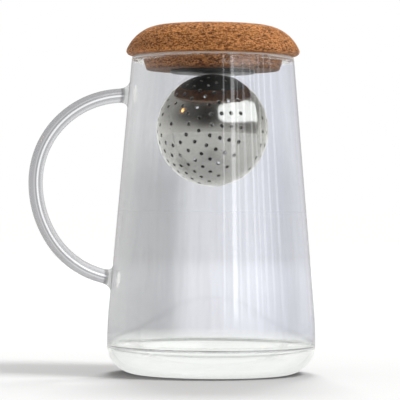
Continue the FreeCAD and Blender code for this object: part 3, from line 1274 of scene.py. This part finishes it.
@dataclass
class Studio:
    """The floor, the lamps, the camera and what shines in glass and steel."""

    distance: float = 1.125
    turn: float = 13.0
    eye_height: float = 0.083
    lens: float = 202.5
    sensor: float = 36.0
    shift: float = 0.018
    aside: float = 0.006
    roll: float = 0.37
    floor_shade: float = 0.87
    floor_glow: float = 0.02
    soft_tone: tuple = (1.0, 0.985, 0.965, 1.0)
    soft_strength: float = 0.27
    floor_reach: float = 40000.0
    floor_level: float = -0.02
    floor_steps: int = 8
    lamps: tuple = (("key", 74.0, 58.0, 3.2, 0.8, 52.0), ("back", 178.0, 56.0, 3.2, 1.0, 52.0))
    room_radius: float = 1400.0
    room_height: float = 121.5
    room_span: tuple = (165.0, (-4.8, 88.0))
    room_grid: tuple = (440, 48)
    streaks: tuple = ((14.2, 1.6, 3.4), (26.5, 4.4, 5.6), (33.0, 1.6, 2.6), (41.5, 3.0, 3.0), (52.0, 2.0, 3.8),
                      (58.0, 1.6, 2.6), (65.0, 2.6, 2.8), (74.0, 2.0, 3.2), (86.0, 3.0, 2.8))

    @property
    def towards(self) -> Vector:
        """Level unit vector from the mug to the camera."""
        turn = math.radians(self.turn)
        return Vector((-math.sin(turn), -math.cos(turn), 0))

    @property
    def rightward(self) -> Vector:
        """Level unit vector to the camera's right."""
        return UP.cross(self.towards)

    def camera(self) -> None:
        """Sets the camera at the photograph's viewing angle."""
        data = bpy.data.cameras.new("camera")
        data.lens, data.sensor_width, data.shift_y = self.lens, self.sensor, self.shift
        camera = bpy.data.objects.new("camera", data)
        spot = self.towards * self.distance - self.rightward * self.aside + UP * self.eye_height
        rotation = Matrix((self.rightward, UP, self.towards)).transposed().to_4x4()
        roll = Matrix.Rotation(math.radians(self.roll), 4, "Z")
        camera.matrix_world = Matrix.Translation(spot) @ rotation @ roll
        bpy.context.scene.collection.objects.link(camera)
        bpy.context.scene.camera = camera

    def floor(self) -> None:
        """Lays the pale floor."""
        surface = Surface()
        places = [self.floor_reach * (2 * i / self.floor_steps - 1) for i in range(self.floor_steps + 1)]
        surface.sheet([[surface.add(Vector((x, y, self.floor_level))) for y in places] for x in places])
        piece = surface.build("floor")
        nodes = Nodes("pale_floor")
        path = nodes.add("LightPath").outputs
        place = nodes.place()
        level = self.floor_glow
        for _, around, lift, distance, _, power in self.lamps:
            axis = self.aim(around, lift)
            share = self.floor_shade * power * axis.z / (math.pi * distance) ** 2
            off = nodes.vector("SUBTRACT", tuple(axis * distance), place)
            fall = nodes.math("POWER", nodes.math("DIVIDE", distance, nodes.vector("LENGTH", off)), 4.0)
            ahead = nodes.math("DIVIDE", nodes.vector("DOT_PRODUCT", off, tuple(axis)), distance)
            fall = nodes.product(fall, nodes.math("MAXIMUM", ahead, 0.0))
            level = nodes.math("ADD", level, nodes.product(nodes.invert(nodes.math("MINIMUM", fall, 1.0)), share))
        matte = nodes.add("BsdfDiffuse", Color=(self.floor_shade,) * 3 + (1.0,))
        glow = nodes.add("Emission", Color=(1, 1, 1, 1), Strength=nodes.product(nodes.seen(), level))
        both = nodes.add("AddShader", i0=matte, i1=glow)
        plain = nodes.add("Emission", Color=(1, 1, 1, 1), Strength=1.0)
        glossy = path["Is Glossy Ray"]
        bent = nodes.product(glossy, nodes.math("GREATER_THAN", path["Transmission Depth"], 0.5))
        under = nodes.product(nodes.span(nodes.vector("LENGTH", place), 0.090, 0.050), glossy, 0.75)
        white = nodes.math("MAXIMUM", nodes.math("MAXIMUM", path["Is Transmission Ray"], bent), under)
        wear(piece, nodes.finish(nodes.mix(white, both, plain)))

    def world(self) -> None:
        """Sets a white background and a soft light all round."""
        nodes = Nodes("studio", "World")
        white = nodes.add("Background", Color=(1, 1, 1, 1), Strength=1.0)
        soft = nodes.add("Background", Color=self.soft_tone, Strength=self.soft_strength)
        bpy.context.scene.world = nodes.finish(nodes.mix(nodes.seen(), soft, white))

    def lamp(self, name: str, around: float, lift: float, distance: float, size: float, power: float) -> None:
        """Hangs a soft square lamp.

        Args:
            name: its name.
            around: degrees to the right of the camera, seen from the mug.
            lift: degrees above level.
            distance: from the mug, in metres.
            size: of its side, in metres.
            power: in watts.
        """
        data = bpy.data.lights.new(name, "AREA")
        data.shape = "SQUARE"
        data.size = size
        data.energy = power
        lamp = bpy.data.objects.new(name, data)
        out = self.aim(around, lift)
        lamp.matrix_world = Matrix.Translation(out * distance) @ out.to_track_quat("Z", "Y").to_matrix().to_4x4()
        for ray in ("glossy", "transmission", "camera"):
            setattr(lamp, "visible_" + ray, False)
        bpy.context.scene.collection.objects.link(lamp)

    def shine(self, around: float, lift: float, barred: bool) -> Vector:
        """What glass and steel see of the room in one direction.

        Args:
            around: degrees to the right of the camera, seen from the ball.
            lift: degrees above level.
            barred: whether the window's bright bars show, as they do on the near wall of the glass.

        Returns:
            Red, green and blue.
        """
        level = 0.12 + 0.40 * ease(55, 115, abs(around))
        level += 0.20 * ease(45, 75, lift) + 0.72 * ease(24, -8, lift)
        level *= 1 - 0.55 * ease(30, 5, abs(around + 14)) * ease(30, 12, abs(lift - 26))
        level *= 1 - 0.55 * ease(30, 10, abs(around - 82)) * ease(12, 3, abs(lift - 3))
        tone = Vector((1.0, 0.985, 0.96)) * level
        pane = ((around - 62) / 49) ** 4 + ((lift - 33) / 19.5) ** 4
        window = Vector((0.96, 0.98, 1.0)) * (3.0 if barred else 2.3)
        tone = tone.lerp(window, ease(1.25, 0.85, pane))
        for middle, width, power in self.streaks if barred else ():
            inside = ease(width * 0.75, width * 0.4, abs(around - middle)) * ease(-3, 4, lift) * ease(34, 24, lift)
            tone = tone.lerp(Vector((0.97, 0.98, 1.0)) * power, inside)
        warm = math.hypot(around + 75, lift - 32)
        return tone + Vector((9.0, 4.2, 1.2)) * ease(4.0, 1.5, warm)

    def room(self) -> None:
        """Hangs the dim room with its window, which only glass and steel reflect."""
        surface = Surface()
        columns, rows = self.room_grid
        (widest, (lowest, highest)) = self.room_span
        tones, grid = {"barred": [], "calm": []}, []
        for i in range(columns + 1):
            turn = widest * (2 * i / columns - 1)
            column = []
            for j in range(rows + 1):
                lift = lowest + (highest - lowest) * j / rows
                column.append(surface.add(self.aim(turn, lift) * self.room_radius + UP * self.room_height))
                for name, row in tones.items():
                    row.append(self.shine(turn, lift, name == "barred"))
            grid.append(column)
        surface.sheet(grid)
        piece = surface.build("dim_room")
        for name, row in tones.items():
            layer = piece.data.color_attributes.new(name, "FLOAT_COLOR", "POINT")
            layer.data.foreach_set("color", [part for tone in row for part in (*tone, 1.0)])
        nodes = Nodes("dim_room")
        path = nodes.add("LightPath").outputs
        barred, calm = (nodes.add("Attribute", {"attribute_name": name}).outputs["Color"] for name in tones)
        painted = nodes.blend("MIX", nodes.math("GREATER_THAN", path["Transparent Depth"], 1.5), barred, calm)
        bent = nodes.product(nodes.math("GREATER_THAN", path["Transmission Depth"], 0.5), 0.75)
        painted = nodes.blend("MIX", bent, painted, (1.0, 1.0, 0.98))
        wear(piece, nodes.finish(nodes.add("Emission", Color=painted)))
        for ray in ("camera", "diffuse", "transmission", "shadow"):
            setattr(piece, "visible_" + ray, False)

    def aim(self, around: float, lift: float) -> Vector:
        """The direction of something, seen from the mug.

        Args:
            around: degrees to the right of the camera.
            lift: degrees above level.

        Returns:
            A unit vector.
        """
        turn, rise = math.radians(around), math.radians(lift)
        level = self.towards * math.cos(turn) + self.rightward * math.sin(turn)
        return level * math.cos(rise) + UP * math.sin(rise)

    def build(self) -> None:
        """Builds the whole studio."""
        self.camera()
        self.floor()
        self.world()
        for lamp in self.lamps:
            self.lamp(*lamp)
        self.room()
        bpy.context.scene.view_settings.view_transform = "Standard"


def main() -> None:
    """Builds every piece and reports it."""
    logging.basicConfig(level=logging.INFO, format="%(name)s: %(message)s")
    mug = GlassMug()
    glass = mug.build()
    mug.dress(glass, ClearGlass())
    LOG.info("glass mug: %d faces", len(glass.data.polygons))
    lid = CorkLid()
    cork = lid.build()
    lid.dress(cork, TurnedCork(), DarkPlate(), PressedSteel("magnet_plating", (0.70, 0.70, 0.72), 0.15, 0.0))
    LOG.info("cork lid: %d faces", len(cork.data.polygons))
    steel = PressedSteel().material()
    for half in (front_shell(), rear_shell()):
        shell = half.build()
        half.dress(shell, steel)
        LOG.info("%s: %d faces", half.name, len(shell.data.polygons))
    Studio().build()
    LOG.info("studio built")


if __name__ == "__main__":
    main()
